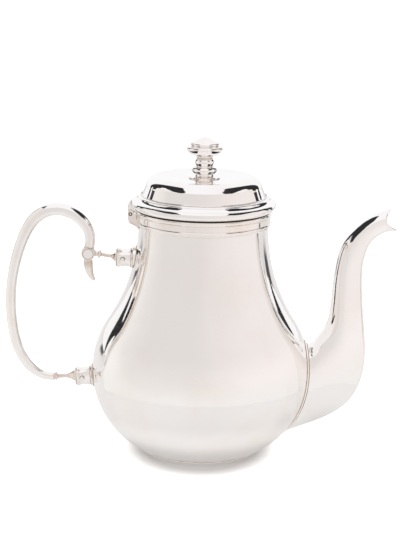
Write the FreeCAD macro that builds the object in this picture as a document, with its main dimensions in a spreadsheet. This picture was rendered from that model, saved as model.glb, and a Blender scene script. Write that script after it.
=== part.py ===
import FreeCAD, Part
import math
import os
from types import SimpleNamespace

import Sketcher
from FreeCAD import Placement, Rotation, Vector

# A silver coffee pot: pear-shaped body, swan-neck spout, C-shaped handle and hinged lid.
# Millimetres, +Z up, +X towards the spout, the origin under the body's axis on the table.

os.makedirs("parts", exist_ok=True)
doc = FreeCAD.newDocument("coffee_pot")


# ---------------------------------------------------------------- driving sizes

SIZES = {
    "wall": 1.0,                # sheet thickness of the raised silver
    "foot_height": 1.2,
    "foot_radius": 38.5,
    "belly_arc": 57.9,          # radius of the belly's arc in side view
    "belly_offset": 13.3,       # distance of that arc's centre from the axis
    "belly_height": 53.2,
    "neck_radius": 42.0,
    "neck_height": 150.6,       # where the sides become upright
    "mouth_height": 160.4,
    "lid_gap": 0.8,             # daylight between mouth and lid
    "rim_radius": 45.3,         # lower edge of the lid's roll
    "dome_foot_radius": 40.4,
    "dome_foot_height": 169.4,
    "crown_radius": 29.6,
    "crown_height": 182.0,      # the dome's highest ring
    "dish_depth": 1.1,          # how far the middle of the crown is let down
    "dome_shoulder": 8.3,
    "dome_sheet": 0.9,
    "bezel_clearance": 1.15,
    "stud_radius": 2.0,
    "hinge_offset": 47.0,
    "hinge_height": 157.3,
    "knuckle_radius": 1.9,
    "hinge_pin_radius": 0.8,
    "hinge_running_gap": 0.05,
    "hinge_half_width": 7.0,
    "lid_knuckle_half_width": 2.7,
    "hinge_side_gap": 0.3,
    "upper_socket_height": 127.2,
    "lower_socket_height": 47.4,
    "socket_radius": 7.0,
    "socket_length": 9.0,
    "heat_break": 1.0,          # thickness of the pale disc between socket and arm
    "tenon_radius": 2.3,
    "pin_radius": 1.35,
    "pin_half_length": 7.6,
    "spout_sheet": 1.0,
    "collar_width": 1.8,
    "collar_height": 1.0,
}

# The spout's cross-sections, from inside the belly to beyond the lips: the upper end of the
# oval (x, z), its lower end (x, z), and half its width across the pot.
SPOUT_STATIONS = [
    ((59.9, 74.6), (45.8, 15.1), 16.4),
    ((71.6, 71.8), (57.5, 12.3), 16.2),
    ((76.4, 76.9), (80.5, 21.3), 15.6),
    ((79.9, 82.0), (98.3, 34.0), 14.6),
    ((82.6, 88.9), (106.6, 53.5), 13.2),
    ((83.9, 98.5), (107.1, 76.2), 11.8),
    ((84.7, 110.0), (104.6, 102.0), 10.2),
    ((85.9, 121.5), (103.9, 120.3), 8.9),
    ((90.6, 139.5), (105.2, 131.0), 8.2),
    ((97.8, 148.8), (108.2, 139.2), 6.9),
    ((107.3, 157.0), (115.6, 145.9), 6.8),
    ((120.9, 162.1), (125.6, 148.6), 6.7),
    ((129.0, 163.4), (133.0, 149.6), 6.7),
]

RING_POINTS = 24

# The strainer behind the spout: its rows' heights, the holes' radius and their spacing.
STRAINER_HEIGHTS = (28.0, 35.0, 42.0, 49.0, 56.0)
STRAINER_RADIUS, STRAINER_PITCH = 1.6, 6.5

# The handle's centre line (x, z) from the roundel over the top and down to the lower arm,
# and the tube's radius at even steps along it.
HANDLE_LINE = [
    (-74.4, 131.0), (-73.3, 136.0), (-73.5, 142.0), (-76.2, 148.2), (-81.6, 153.8),
    (-88.0, 157.3), (-94.6, 158.4), (-101.4, 157.1), (-107.2, 153.6), (-111.8, 148.4),
    (-116.4, 139.5), (-121.2, 124.5), (-124.1, 108.0), (-124.6, 96.0), (-123.9, 83.5),
    (-121.6, 70.5), (-117.8, 60.6), (-112.0, 52.6), (-104.5, 47.6), (-96.6, 46.2),
]
HANDLE_RADII = [3.3, 3.7, 4.15, 4.15, 3.95, 3.6, 3.45, 3.4, 3.5, 3.4, 3.1, 2.6]

# How far the sockets lean outwards and upwards, and where along them their pins sit.
UPPER_TILT, LOWER_TILT = 0.0, -5.0
PIN_SEAT = 5.3

TAIL_LINE = [(-74.4, 127.0), (-74.2, 121.5), (-73.2, 116.8), (-71.0, 112.6)]
TAIL_RADII = [2.6, 3.0, 2.4, 1.4]


class Size:
    """A length together with the spreadsheet formula that gives it."""

    def __init__(self, value, formula):
        self.value = float(value)
        self.formula = formula

    def __add__(self, other):
        other = as_size(other)
        return Size(self.value + other.value, f"({self.formula} + {other.formula})")

    def __sub__(self, other):
        other = as_size(other)
        return Size(self.value - other.value, f"({self.formula} - {other.formula})")

    def __mul__(self, other):
        other = as_size(other)
        return Size(self.value * other.value, f"({self.formula} * {other.formula})")

    def __truediv__(self, other):
        other = as_size(other)
        return Size(self.value / other.value, f"({self.formula} / {other.formula})")

    def __neg__(self):
        return Size(-self.value, f"(0 - {self.formula})")


def as_size(value):
    """Return the value as a Size; a plain number stays a plain number in the formula."""
    return value if isinstance(value, Size) else Size(value, f"({value:.6g})")


def root(value):
    """Return the square root of a Size."""
    return Size(math.sqrt(value.value), f"sqrt({value.formula})")


def make_sheet(entries):
    """Write the sizes into the spreadsheet and return them as named Size values."""
    sheet = doc.addObject("Spreadsheet::Sheet", "Sizes")
    for row, (name, value) in enumerate(entries.items(), start=1):
        sheet.set(f"A{row}", name)
        sheet.set(f"B{row}", str(value))
        sheet.setAlias(f"B{row}", name)
    doc.recompute()
    return SimpleNamespace(**{name: Size(value, f"Sizes.{name}") for name, value in entries.items()})


def listed(name, values):
    """Return sheet entries name_0, name_1 ... for a list of values."""
    return {f"{name}_{step}": value for step, value in enumerate(values)}


s = make_sheet({
    **SIZES,
    **listed("handle_radius", HANDLE_RADII),
    **listed("tail_radius", TAIL_RADII),
})


# ---------------------------------------------------------------- sketch and solid helpers

def own_plane(body, role):
    """Return one of the body's own origin planes."""
    return next(item for item in body.Origin.OriginFeatures if item.Role == role)


def fix_point(sketch, geometry, end, x, y):
    """Hold a sketch point at x, y with dimensions tied to the sheet."""
    for kind, axis, size in (("DistanceX", -2, x), ("DistanceY", -1, y)):
        if abs(size.value) < 1e-9:
            sketch.addConstraint(Sketcher.Constraint("PointOnObject", geometry, end, axis))
            continue
        index = sketch.addConstraint(
            Sketcher.Constraint(kind, -1, 1, geometry, end, size.value))
        if "Sizes" in size.formula:
            sketch.setExpression(f"Constraints[{index}]", size.formula)


def bulge_middle(start, end, radius):
    """Return the middle of the arc from start to end that bulges right (+) or left (-)."""
    chord = end - start
    right = Vector(chord.y, -chord.x, 0).normalize()
    rise = abs(radius) - math.sqrt(radius * radius - chord.Length ** 2 / 4)
    return (start + end) * 0.5 + right * math.copysign(rise, radius)


def outline_sketch(body, name, outline):
    """Draw a closed outline of (x, z[, radius]) corners on the body's XZ plane.

    A corner's radius makes the side that starts there an arc: positive swells outwards and
    negative curves inwards when the corners run anticlockwise.
    """
    sketch = body.newObject("Sketcher::SketchObject", name)
    sketch.AttachmentSupport = (own_plane(body, "XZ_Plane"), [""])
    sketch.MapMode = "FlatFace"
    corners = [(as_size(corner[0]), as_size(corner[1])) for corner in outline]
    places = [Vector(x.value, y.value, 0) for x, y in corners]
    ends = []
    for step, corner in enumerate(outline):
        start, end = places[step], places[(step + 1) % len(places)]
        if len(corner) == 3:
            radius = as_size(corner[2])
            side = Part.Arc(start, bulge_middle(start, end, radius.value), end)
        else:
            side = Part.LineSegment(start, end)
        index = sketch.addGeometry(side, False)
        flipped = (sketch.getPoint(index, 1) - start).Length > 1e-6
        ends.append((index, (2, 1) if flipped else (1, 2)))
    for step, (index, (first, last)) in enumerate(ends):
        following, (after, _) = ends[(step + 1) % len(ends)]
        sketch.addConstraint(Sketcher.Constraint("Coincident", index, last, following, after))
    for step, (index, (first, last)) in enumerate(ends):
        fix_point(sketch, index, first, *corners[step])
        if len(outline[step]) == 3:
            radius = as_size(outline[step][2])
            bound = sketch.addConstraint(
                Sketcher.Constraint("Radius", index, abs(radius.value)))
            if "Sizes" in radius.formula:
                sign = "" if radius.value > 0 else "-1 * "
                sketch.setExpression(f"Constraints[{bound}]", sign + radius.formula)
    return sketch


def label(thing, name):
    """Give a finished sub-part its node name."""
    thing.Label = name
    return thing


def turned(name, outline):
    """Return a body turned about its own Z axis from an outline of (radius, height) corners."""
    body = doc.addObject("PartDesign::Body", name)
    sketch = outline_sketch(body, f"{name}_outline", outline)
    turn = body.newObject("PartDesign::Revolution", f"{name}_turn")
    turn.Profile = sketch
    turn.ReferenceAxis = (sketch, ["V_Axis"])
    turn.Angle = 360.0
    doc.recompute()
    return body


def slab(name, outline, width):
    """Return a plate with the outline in side view, as thick as width, centred on Y = 0."""
    body = doc.addObject("PartDesign::Body", name)
    sketch = outline_sketch(body, f"{name}_outline", outline)
    pad = body.newObject("PartDesign::Pad", f"{name}_pad")
    pad.Profile = sketch
    pad.Midplane = True
    width = as_size(width)
    pad.Length = width.value
    if "Sizes" in width.formula:
        pad.setExpression("Length", width.formula)
    doc.recompute()
    return body


def aim(thing, x, z, tilt):
    """Turn a thing's Z axis outwards along -X, raised by tilt degrees, and set it at x, z."""
    direction = Vector(-math.cos(math.radians(tilt)), 0, math.sin(math.radians(tilt)))
    thing.Placement = Placement(Vector(x.value, 0, z.value), Rotation(Vector(0, 0, 1), direction))
    thing.setExpression("Placement.Base.x", x.formula)
    thing.setExpression("Placement.Base.z", z.formula)
    return thing


def cross_rod(name, radius, half_length, x, z):
    """Return a cylinder along Y, centred on the pot's middle plane."""
    rod = doc.addObject("Part::Cylinder", name)
    rod.setExpression("Radius", radius.formula)
    rod.setExpression("Height", (half_length * 2).formula)
    rod.Placement = Placement(Vector(x.value, half_length.value, z.value),
                              Rotation(Vector(1, 0, 0), 90))
    rod.setExpression("Placement.Base.x", x.formula)
    rod.setExpression("Placement.Base.y", half_length.formula)
    rod.setExpression("Placement.Base.z", z.formula)
    return rod


def cut(name, base, *tools):
    """Return the base with every tool taken away."""
    for step, tool in enumerate(tools):
        last = step == len(tools) - 1
        result = doc.addObject("Part::Cut", name if last else f"{name}_cut_{step}")
        result.Base, result.Tool = base, tool
        base = result
    return base


def common(name, first, second):
    """Return what two solids share."""
    result = doc.addObject("Part::Common", name)
    result.Base, result.Tool = first, second
    return result


def fuse(name, *shapes):
    """Return the union of the shapes."""
    result = doc.addObject("Part::MultiFuse", name)
    result.Shapes = list(shapes)
    return result


def tube(name, line, radius_name, count):
    """Return a round bar of changing radius along a smooth line of (x, z) points."""
    spine = doc.addObject("Sketcher::SketchObject", f"{name}_line")
    spine.Placement = Placement(Vector(0, 0, 0), Rotation(Vector(1, 0, 0), 90))
    curve = Part.BSplineCurve()
    curve.interpolate([Vector(x, z, 0) for x, z in line])
    spine.addGeometry(curve, False)
    doc.recompute()
    sections = []
    for step in range(count):
        ring = doc.addObject("Part::Circle", f"{name}_ring_{step}")
        ring.setExpression("Radius", f"Sizes.{radius_name}_{step}")
        ring.AttachmentSupport = (spine, ["Edge1"])
        ring.MapMode = "NormalToEdge"
        ring.MapPathParameter = step / (count - 1)
        sections.append(ring)
    sweep = doc.addObject("Part::Sweep", name)
    sweep.Sections = sections
    sweep.Spine = (spine, ["Edge1"])
    sweep.Solid = True
    return sweep


# ---------------------------------------------------------------- the raised body

def flank_arc():
    """Return the radius of the hollow arc that joins the belly to the upright neck."""
    across = s.neck_radius - s.belly_offset
    up = s.neck_height - s.belly_height
    return (across * across + up * up - s.belly_arc * s.belly_arc) / ((s.belly_arc - across) * 2)


def pear_line(thicker):
    """Return the pear's side from the foot up to the mouth, moved outwards by thicker."""
    belly = s.belly_arc + thicker
    flank = flank_arc() - thicker
    reach = s.belly_arc + flank_arc()
    bottom = s.belly_height - s.foot_height
    start = s.belly_offset + root(belly * belly - bottom * bottom)
    across = (s.neck_radius + flank_arc() - s.belly_offset) / reach
    up = (s.neck_height - s.belly_height) / reach
    shoulder = (s.belly_offset + belly * across, s.belly_height + belly * up)
    upright = s.neck_radius + thicker
    return start, belly, shoulder, flank, upright


def pear_solid(name, thicker):
    """Return the whole pear as one filled solid, used to trim what is joined to it."""
    start, belly, shoulder, flank, upright = pear_line(as_size(thicker))
    return turned(name, [
        (0, s.foot_height), (start, s.foot_height, belly), (*shoulder, -flank),
        (upright, s.neck_height), (upright, s.mouth_height), (0, s.mouth_height)])


def make_body_shell():
    """Make the thin-walled body, pierced with strainer holes behind the spout."""
    start, belly, shoulder, flank, upright = pear_line(as_size(0))
    in_start, in_belly, in_shoulder, in_flank, in_upright = pear_line(-s.wall)
    shell = turned("pear_shell", [
        (start, s.foot_height, belly), (*shoulder, -flank), (upright, s.neck_height),
        (upright, s.mouth_height), (in_upright, s.mouth_height),
        (in_upright, s.neck_height, in_flank), (*in_shoulder, -in_belly),
        (in_start, s.foot_height)])
    holes = []
    for row, height in enumerate(STRAINER_HEIGHTS):
        count = 3 + row % 2
        for step in range(count):
            hole = doc.addObject("Part::Cylinder", f"strainer_{row}_{step}")
            hole.Radius, hole.Height = STRAINER_RADIUS, 22.0
            across = (step - (count - 1) / 2) * STRAINER_PITCH
            hole.Placement = Placement(Vector(54.0, across, height), Rotation(Vector(0, 1, 0), 90))
            holes.append(hole)
    return label(cut("body_shell", shell, fuse("strainer", *holes)), "body_shell")


def make_base_plate():
    """Make the bottom, pushed up in the middle, whose edge meets the inside of the wall."""
    inner = s.belly_arc - s.wall

    def inside(height):
        drop = s.belly_height - height
        return s.belly_offset + root(inner * inner - drop * drop)

    low, high = s.foot_height + 1.2, s.foot_height + 2.2
    return label(turned("base_plate", [
        (0, low + 1.8), (30.0, low + 1.8), (33.0, low), (inside(low), low, inner),
        (inside(high), high), (33.6, high), (30.6, high + 1.8), (0, high + 1.8)]), "base_plate")


def make_foot_ring():
    """Make the low rolled ring that the pot stands on."""
    inner = s.foot_radius - 2.1
    return label(turned("foot_ring", [
        (inner, 0), (s.foot_radius - 0.35, 0, 0.75), (s.foot_radius - 0.1, s.foot_height),
        (inner, s.foot_height)]), "foot_ring")


def make_neck_band():
    """Make the stepped moulding round the mouth: two rolls, a flat band and a small rebate."""
    neck, top = s.neck_radius, s.mouth_height
    return label(turned("neck_band", [
        (neck, top - 10.3), (neck + 0.8, top - 10.3, 0.6), (neck + 0.9, top - 9.4),
        (neck + 1.2, top - 9.3, 1.3), (neck + 1.2, top - 7.3), (neck + 0.9, top - 7.1),
        (neck + 1.5, top - 6.8), (neck + 1.6, top - 3.6), (neck + 1.1, top - 3.3),
        (neck + 1.5, top - 3.1, 1.5), (neck + 1.5, top - 0.6), (neck + 0.5, top - 0.5),
        (neck + 0.5, top), (neck, top)]), "neck_band")


# ---------------------------------------------------------------- spout

def spout_ring(station, thicker):
    """Return points round one oval of the spout, starting at its lower end."""
    upper, lower, half_width = station
    middle = Vector((upper[0] + lower[0]) / 2, 0, (upper[1] + lower[1]) / 2)
    rise = Vector(upper[0] - lower[0], 0, upper[1] - lower[1])
    half_height = rise.Length / 2 + thicker
    rise.normalize()
    turns = [math.tau * step / RING_POINTS for step in range(RING_POINTS)]
    return [middle - rise * (half_height * math.cos(turn))
            + Vector(0, (half_width + thicker) * math.sin(turn), 0) for turn in turns]


def spout_skin(name, thicker):
    """Return the filled spout with every oval grown by thicker, as one smooth skin."""
    rings = [spout_ring(station, thicker.value) for station in SPOUT_STATIONS]
    skin = Part.BSplineSurface()
    skin.interpolate([ring + ring[:1] for ring in rings])
    first, last, _, _ = skin.bounds()
    caps = [Part.Face(Part.Wire(skin.uIso(end).toShape())) for end in (first, last)]
    shell = Part.Shell(Part.makeShell([skin.toShape(), *caps]).Faces)
    shell.sewShape()
    solid = Part.Solid(shell)
    if solid.Volume < 0:
        solid.reverse()
    holder = doc.addObject("Part::Feature", name)
    holder.Shape = solid
    return holder


def make_spout(pear):
    """Make the swan-neck spout and the narrow band round its root."""
    outer = spout_skin("spout_outer", as_size(0))
    bore = spout_skin("spout_bore", -s.spout_sheet)
    mouth = slab("spout_mouth", [
        (125.6, 148.6), (125.6, 140.0), (145.0, 140.0), (145.0, 172.0), (120.9, 172.0),
        (120.9, 162.1, 7.55)], 40.0)
    spout = cut("spout", outer, mouth, pear, bore)
    raised = pear_solid("pear_raised", s.collar_height)
    wide = spout_skin("spout_wide", s.collar_width)
    collar = cut("spout_collar", common("collar_blank", wide, raised), outer, pear)
    return label(spout, "spout"), label(collar, "spout_collar")


# ---------------------------------------------------------------- sockets, pins and handle

def along(x, z, tilt, distance):
    """Return the place at a distance outwards along a socket's axis."""
    distance = as_size(distance)
    return (x - distance * math.cos(math.radians(tilt)),
            z + distance * math.sin(math.radians(tilt)))


def make_socket(name, x, z, tilt, pear):
    """Make a spool-shaped socket and the flared boss that carries it on the body."""
    radius, length = s.socket_radius, s.socket_length
    spool = aim(turned(f"{name}_spool", [
        (0, 0), (radius - 0.7, 0), (radius - 0.7, 0.3), (radius - 1.0, 1.5, -14.0),
        (radius - 1.0, length - 2.3), (radius - 0.5, length - 1.1, 0.7),
        (radius - 0.7, length), (0, length)]), x, z, tilt)
    boss = aim(turned(f"{name}_flare", [
        (0, -12.0), (radius + 1.5, -12.0), (radius + 0.7, -1.2, -2.0), (radius - 0.7, 0),
        (0, 0)]), x, z, tilt)
    return spool, cut(f"{name}_boss", boss, pear)


def dome_headed_pin(name, x, z):
    """Make a cross pin with low rounded heads."""
    radius, half_length = s.pin_radius, s.pin_half_length
    pin = turned(name, [
        (0, -half_length), (radius * 0.45, -half_length, 1.1), (radius, -half_length + 0.5),
        (radius, half_length - 0.5, 1.1), (radius * 0.45, half_length), (0, half_length)])
    pin.Placement = Placement(Vector(x.value, 0, z.value), Rotation(Vector(1, 0, 0), 90))
    pin.setExpression("Placement.Base.x", x.formula)
    pin.setExpression("Placement.Base.z", z.formula)
    return pin


def make_handle(pear):
    """Make sockets, heat breaks, pins, arms, bow, roundel and tail."""
    upper = as_size(-46.5), s.upper_socket_height, UPPER_TILT
    lower = as_size(-72.4), s.lower_socket_height, LOWER_TILT
    upper_spool, upper_boss = make_socket("upper_socket", *upper, pear)
    lower_spool, lower_boss = make_socket("lower_socket", *lower, pear)
    upper_end, lower_end = along(*upper, s.socket_length), along(*lower, s.socket_length)
    tenon = s.tenon_radius

    upper_arm = aim(turned("upper_arm_turning", [
        (0, -7.4), (tenon, -7.4), (tenon, 1.1), (3.45, 1.1), (3.4, 1.6, -5.0), (1.2, 4.3),
        (1.2, 10.5), (2.2, 10.8, 0.95), (2.2, 12.5), (1.6, 12.7), (2.0, 16.5), (0, 16.5)]),
        upper_end[0], upper_end[1] + 0.1, 9.0)
    lower_arm = aim(turned("lower_arm_turning", [
        (0, -7.4), (tenon, -7.4), (tenon, 1.1), (3.75, 1.1), (3.6, 1.8, -9.0), (1.4, 7.6),
        (1.4, 12.5), (2.4, 12.6, 0.85), (2.4, 14.1), (2.1, 14.2), (2.4, 15.4), (0, 15.4)]),
        lower_end[0] - 0.1, lower_end[1] + 0.6, -3.5)

    upper_pin = dome_headed_pin("upper_pin_turning", *along(*upper, PIN_SEAT))
    lower_pin = dome_headed_pin("lower_pin_turning", *along(*lower, PIN_SEAT))

    roundel = turned("roundel_turning", [
        (0, -3.9), (3.5, -3.9), (3.6, -3.3), (3.9, -3.3, 1.2), (4.6, -2.2), (4.6, 2.2, 1.2),
        (3.9, 3.3), (3.6, 3.3), (3.5, 3.9), (0, 3.9)])
    roundel.Placement = Placement(Vector(-74.4, 0, 129.7), Rotation(Vector(1, 0, 0), 90))

    bow = tube("bow_bar", HANDLE_LINE, "handle_radius", len(HANDLE_RADII))
    tail = tube("tail_bar", TAIL_LINE, "tail_radius", len(TAIL_RADII))
    tip = doc.addObject("Part::Sphere", "tail_tip")
    tip.setExpression("Radius", f"Sizes.tail_radius_{len(TAIL_RADII) - 1}")
    tip.Placement.Base = Vector(TAIL_LINE[-1][0], 0, TAIL_LINE[-1][1])

    label(cut("upper_socket", upper_spool, upper_arm, upper_pin), "upper_socket")
    label(cut("lower_socket", lower_spool, lower_arm, lower_pin), "lower_socket")
    label(cut("upper_socket_boss", upper_boss, upper_arm), "upper_socket_boss")
    label(cut("lower_socket_boss", lower_boss, lower_arm), "lower_socket_boss")
    edge = s.socket_radius - 1.2
    for name, arm, end, tilt in (("upper_insulator", upper_arm, upper_end, UPPER_TILT),
                                 ("lower_insulator", lower_arm, lower_end, LOWER_TILT)):
        disc = aim(turned(f"{name}_disc", [
            (0, 0), (edge, 0), (edge, s.heat_break), (0, s.heat_break)]), *end, tilt)
        label(cut(name, disc, arm), name)
    label(upper_pin, "upper_socket_pin")
    label(lower_pin, "lower_socket_pin")
    label(cut("upper_arm", upper_arm, upper_pin, roundel), "upper_arm")
    label(cut("lower_arm", lower_arm, lower_pin), "lower_arm")
    label(roundel, "handle_roundel")
    label(cut("handle_bow", bow, roundel, lower_arm), "handle_bow")
    label(cut("handle_tail", fuse("tail_whole", tail, tip), roundel), "handle_tail")


# ---------------------------------------------------------------- lid and finial

def make_lid():
    """Make the lid's rim, dome and inner flange."""
    bottom = s.mouth_height + s.lid_gap
    foot, foot_z = s.dome_foot_radius, s.dome_foot_height
    inner = foot - s.dome_sheet
    label(turned("lid_rim", [
        (inner, bottom), (s.rim_radius, bottom, 2.85), (s.rim_radius + 0.4, bottom + 4.8, -3.4),
        (foot + 2.1, foot_z - 1.1, 0.9), (foot + 0.9, foot_z - 0.3), (foot, foot_z),
        (inner, foot_z)]), "lid_rim")

    crown, crown_z = s.crown_radius, s.crown_height
    shoulder = s.dome_shoulder
    lean_across, lean_up = math.cos(math.radians(12)), math.sin(math.radians(12))
    side = (crown + shoulder * lean_across, crown_z - shoulder + shoulder * lean_up)
    flare = (foot - 0.7, foot_z + 0.5)
    sheet = s.dome_sheet
    inner_shoulder = shoulder - sheet
    dish_z, seat = crown_z - s.dish_depth, 12.0
    label(turned("lid_dome", [
        (foot, foot_z, -0.7), flare, (*side, shoulder), (crown, crown_z),
        (seat, dish_z), (s.stud_radius, dish_z), (s.stud_radius, dish_z - sheet),
        (seat, dish_z - sheet), (crown, crown_z - sheet, -inner_shoulder),
        (crown + inner_shoulder * lean_across, crown_z - shoulder + inner_shoulder * lean_up),
        (flare[0] - sheet, flare[1], 3.0), (foot - sheet, foot_z)]), "lid_dome")

    outside = s.neck_radius - s.wall - s.bezel_clearance
    label(turned("lid_bezel", [
        (outside - 0.9, bottom - 6.4), (outside - 0.3, bottom - 6.4, 0.7), (outside, bottom - 5.9),
        (outside, bottom), (outside - 0.9, bottom)]), "lid_bezel")


def make_finial():
    """Make the turned finial in two pieces, with the stud, washer and nut that hold it."""
    base, stud = s.crown_height - s.dish_depth, s.stud_radius
    waist = base + 12.9
    label(turned("finial_collar", [
        (stud, base), (10.4, base, 0.3), (10.5, base + 0.5), (8.1, base + 1.0, -1.7),
        (5.8, base + 2.4), (7.2, base + 2.9, 2.5), (7.2, base + 7.0), (5.7, base + 7.2),
        (5.5, base + 7.8, 3.3), (5.5, base + 12.2), (5.2, base + 12.4), (5.2, waist),
        (stud, waist)]), "finial_collar")
    label(turned("finial_knob", [
        (stud, waist), (5.2, waist), (5.9, waist + 0.5, -4.0), (8.9, waist + 2.0, 7.0),
        (11.9, waist + 5.9, 1.3), (11.0, waist + 7.4), (9.2, waist + 7.8), (8.9, waist + 8.0),
        (9.0, waist + 8.3, 0.9), (9.0, waist + 9.8), (7.0, waist + 10.6),
        (6.0, waist + 11.0, 22.0), (1.6, waist + 13.3, 2.81), (0, waist + 13.8),
        (0, waist + 5.0), (stud, waist + 5.0)]), "finial_knob")

    under = base - s.dome_sheet
    stud_low, stud_top = under - 5.2, waist + 5.0
    label(turned("finial_stud", [
        (0, stud_low), (stud - 0.5, stud_low), (stud, stud_low + 0.5), (stud, stud_top),
        (0, stud_top)]), "finial_stud")
    label(turned("finial_washer", [
        (stud, under - 0.8), (6.0, under - 0.8), (6.0, under), (stud, under)]), "finial_washer")

    blank = doc.addObject("Part::Prism", "nut_blank")
    blank.Polygon, blank.Circumradius, blank.Height = 6, 4.4, 2.8
    blank.setExpression("Placement.Base.z", (under - 3.6).formula)
    bore = doc.addObject("Part::Cylinder", "nut_bore")
    bore.setExpression("Radius", stud.formula)
    bore.Height = 8.0
    bore.setExpression("Placement.Base.z", (under - 6.0).formula)
    label(cut("finial_nut", blank, bore), "finial_nut")


# ---------------------------------------------------------------- hinge

def make_hinge(shell, band, rim):
    """Make the pot's hinge leaf, the lid's leaf between its knuckles, and the pin."""
    x, z = -s.hinge_offset, s.hinge_height
    knuckle = s.knuckle_radius
    outside = s.hinge_half_width
    inside = s.lid_knuckle_half_width

    def barrel(name, half_length):
        return cross_rod(name, knuckle, half_length, x, z)

    bore = cross_rod("hinge_bore", s.hinge_pin_radius, outside + 1.0, x, z)
    running_bore = cross_rod(
        "hinge_running_bore", s.hinge_pin_radius + s.hinge_running_gap, outside + 1.0, x, z)

    bracket = slab("hinge_bracket", [
        (-40.0, 146.9), (-40.0, 157.6), (-45.0, 157.6), (-45.2, 158.0), (-48.9, 157.3),
        (-48.5, 153.2, 3.4), (-46.2, 150.6), (-43.2, 149.0, 5.0)], outside * 2)
    room = doc.addObject("Part::Box", "hinge_room")
    room.Length, room.Height = 6.0, 14.0
    room.setExpression("Width", ((inside + s.hinge_side_gap) * 2).formula)
    room.Placement.Base = Vector(-50.6, 0, 153.4)
    room.setExpression("Placement.Base.y", (-(inside + s.hinge_side_gap)).formula)
    whole = fuse("hinge_bracket_whole", bracket, barrel("hinge_pot_barrel", outside))
    pot_leaf = cut("hinge_pot_leaf", whole, room, bore, shell, band)

    tab = slab("hinge_tab", [
        (-48.9, 157.3), (-45.6, 158.2), (-45.2, 160.9), (-44.0, 161.2), (-44.0, 164.6),
        (-47.0, 165.0), (-48.3, 163.6), (-49.3, 160.8)], inside * 2)
    lid_whole = fuse("hinge_tab_whole", tab, barrel("hinge_lid_barrel", inside))
    lid_leaf = cut("hinge_lid_leaf", lid_whole, running_bore, rim)

    pin = cross_rod("hinge_pin", s.hinge_pin_radius, outside, x, z)
    label(pot_leaf, "hinge_pot_leaf")
    label(lid_leaf, "hinge_lid_leaf")
    label(pin, "hinge_pin")


# ---------------------------------------------------------------- assembly and export

def by_label(name):
    """Return the document object whose label is name."""
    return doc.getObjectsByLabel(name)[0]


pear = pear_solid("pear_solid", 0)
make_body_shell()
make_base_plate()
make_foot_ring()
make_neck_band()
make_spout(pear)
make_handle(pear)
make_lid()
make_finial()
make_hinge(pear, by_label("neck_band"), by_label("lid_rim"))
doc.recompute()

NODES = [
    "body_shell", "base_plate", "foot_ring", "neck_band", "spout", "spout_collar",
    "upper_socket", "lower_socket", "upper_socket_boss", "lower_socket_boss",
    "upper_insulator", "lower_insulator", "upper_socket_pin", "lower_socket_pin",
    "upper_arm", "lower_arm", "handle_bow", "handle_roundel", "handle_tail",
    "hinge_pot_leaf", "hinge_pin", "lid_rim", "lid_dome", "lid_bezel", "finial_collar",
    "finial_knob", "finial_stud", "finial_washer", "finial_nut", "hinge_lid_leaf",
]

broken = [item.Name for item in doc.Objects if {"Invalid", "Error"} & set(item.State)]
for name in NODES:
    shape = by_label(name).Shape
    if shape.isNull() or not shape.isValid() or not shape.Solids:
        broken.append(name)
if broken:
    raise RuntimeError(f"these objects failed: {broken}")

for name in NODES:
    shape = by_label(name).Shape
    shape.exportStep(f"parts/{name}.step")
    box = shape.BoundBox
    print(f"{name:20s} {len(shape.Solids)} solid {shape.Volume:9.1f} mm3  "
          f"x {box.XMin:7.1f} {box.XMax:7.1f}  y {box.YMin:6.1f} {box.YMax:6.1f}  "
          f"z {box.ZMin:6.1f} {box.ZMax:6.1f}")
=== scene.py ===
"""A silver coffee pot: raised and polished silver, turned sockets and finial, pale heat breaks.

Metres, +Z up, +X towards the spout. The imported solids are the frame, and this file dresses them
in their finishes, adds the small worked details and sets the pot in a plain light tent.
"""

import logging
import math
from dataclasses import dataclass, field, replace
from enum import Enum
from functools import cache

import bmesh
import bpy
from bmesh.types import BMEdge, BMesh, BMVert
from bpy.types import ID, Material, Node, NodeSocket, NodeTree, Object
from mathutils import Matrix, Vector, noise
from mathutils.bvhtree import BVHTree


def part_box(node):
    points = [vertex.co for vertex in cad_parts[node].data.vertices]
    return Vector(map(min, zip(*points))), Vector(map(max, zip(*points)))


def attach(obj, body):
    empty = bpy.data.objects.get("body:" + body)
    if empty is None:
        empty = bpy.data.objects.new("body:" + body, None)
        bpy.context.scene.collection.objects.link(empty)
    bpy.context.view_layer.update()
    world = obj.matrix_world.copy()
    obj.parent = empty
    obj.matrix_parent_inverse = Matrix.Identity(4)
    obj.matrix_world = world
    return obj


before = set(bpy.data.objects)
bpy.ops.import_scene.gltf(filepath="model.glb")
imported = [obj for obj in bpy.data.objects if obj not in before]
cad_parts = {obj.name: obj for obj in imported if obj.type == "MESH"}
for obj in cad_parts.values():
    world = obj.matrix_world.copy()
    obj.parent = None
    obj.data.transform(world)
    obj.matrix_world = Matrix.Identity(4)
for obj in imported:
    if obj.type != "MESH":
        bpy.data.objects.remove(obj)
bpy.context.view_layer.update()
logger = logging.getLogger("coffee_pot")

Colour = tuple[float, float, float, float]
Corners = tuple[tuple[float, float], ...]
Run = tuple[list[Vector], bool]

MM = 0.001
DEGREES = 180.0 / math.pi
HALF_TURN = 180.0
QUARTER_TURN = 90.0
BLACK: Colour = (0.0, 0.0, 0.0, 1.0)
TENT: dict[str, Colour] = {
    "front": (0.845, 0.81, 0.798, 1.0),
    "left": (0.97, 0.94, 0.92, 1.0),
    "flank": (0.98, 0.925, 0.915, 1.0),
    "white": (1.0, 1.0, 1.015, 1.0),
    "roof": (1.0, 0.985, 1.01, 1.0),
    "shade": (0.42, 0.38, 0.36, 1.0),
    "floor": (0.93, 0.91, 0.895, 1.0),
    "gap": (0.03, 0.03, 0.032, 1.0),
    "seam": (0.55, 0.44, 0.35, 1.0),
    "backdrop": (1.0, 1.0, 1.0, 1.0),
}


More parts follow.
